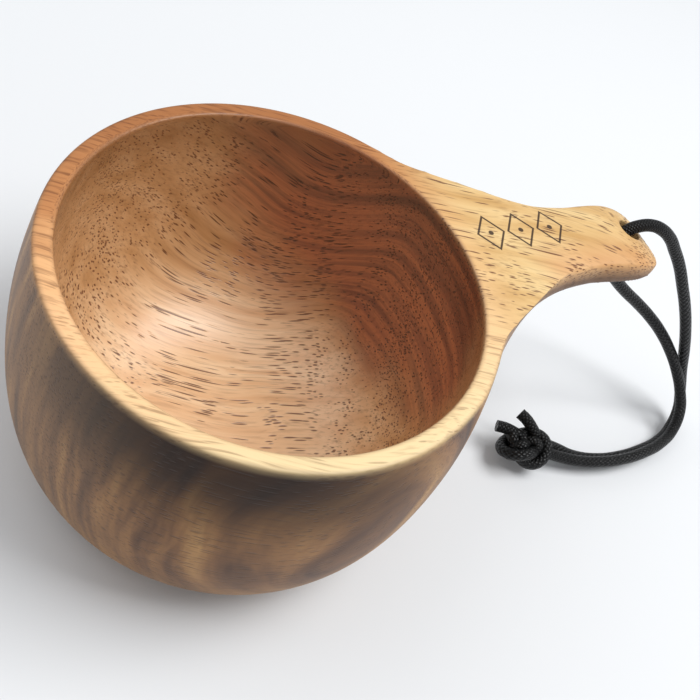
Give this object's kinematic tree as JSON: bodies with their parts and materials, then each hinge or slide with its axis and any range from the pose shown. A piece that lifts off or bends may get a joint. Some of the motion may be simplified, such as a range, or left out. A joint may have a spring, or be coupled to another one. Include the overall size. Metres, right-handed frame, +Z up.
{
  "type": "kuksa cup",
  "caption": "Round-bellied wooden drinking cup with a short flat handle carved from the same block, and a knotted black cord loop through the hole in the handle.",
  "frame": {"origin": "centre of the flat foot, on the bowl's axis", "axes": "+Z up along the bowl's axis, +X towards the handle"},
  "size_m": [0.1815, 0.095, 0.0635],
  "materials": {
    "wood": "oiled, satin",
    "cord": "waxed braid"
  },
  "bodies": {
    "cup": {"cup": "wood"},
    "lanyard": {"cord_upper_strand": "cord", "cord_lower_strand": "cord", "cord_knot": "cord", "cord_tail_1": "cord", "cord_tail_2": "cord"}
  },
  "joints": [
    {"name": "lanyard_swing", "type": "hinge", "parent": "cup", "child": "lanyard", "pos_m": [0.0905, 0.001, 0.0565], "axis": [0, 0, 1], "range_deg": [-60, 60]}
  ]
}
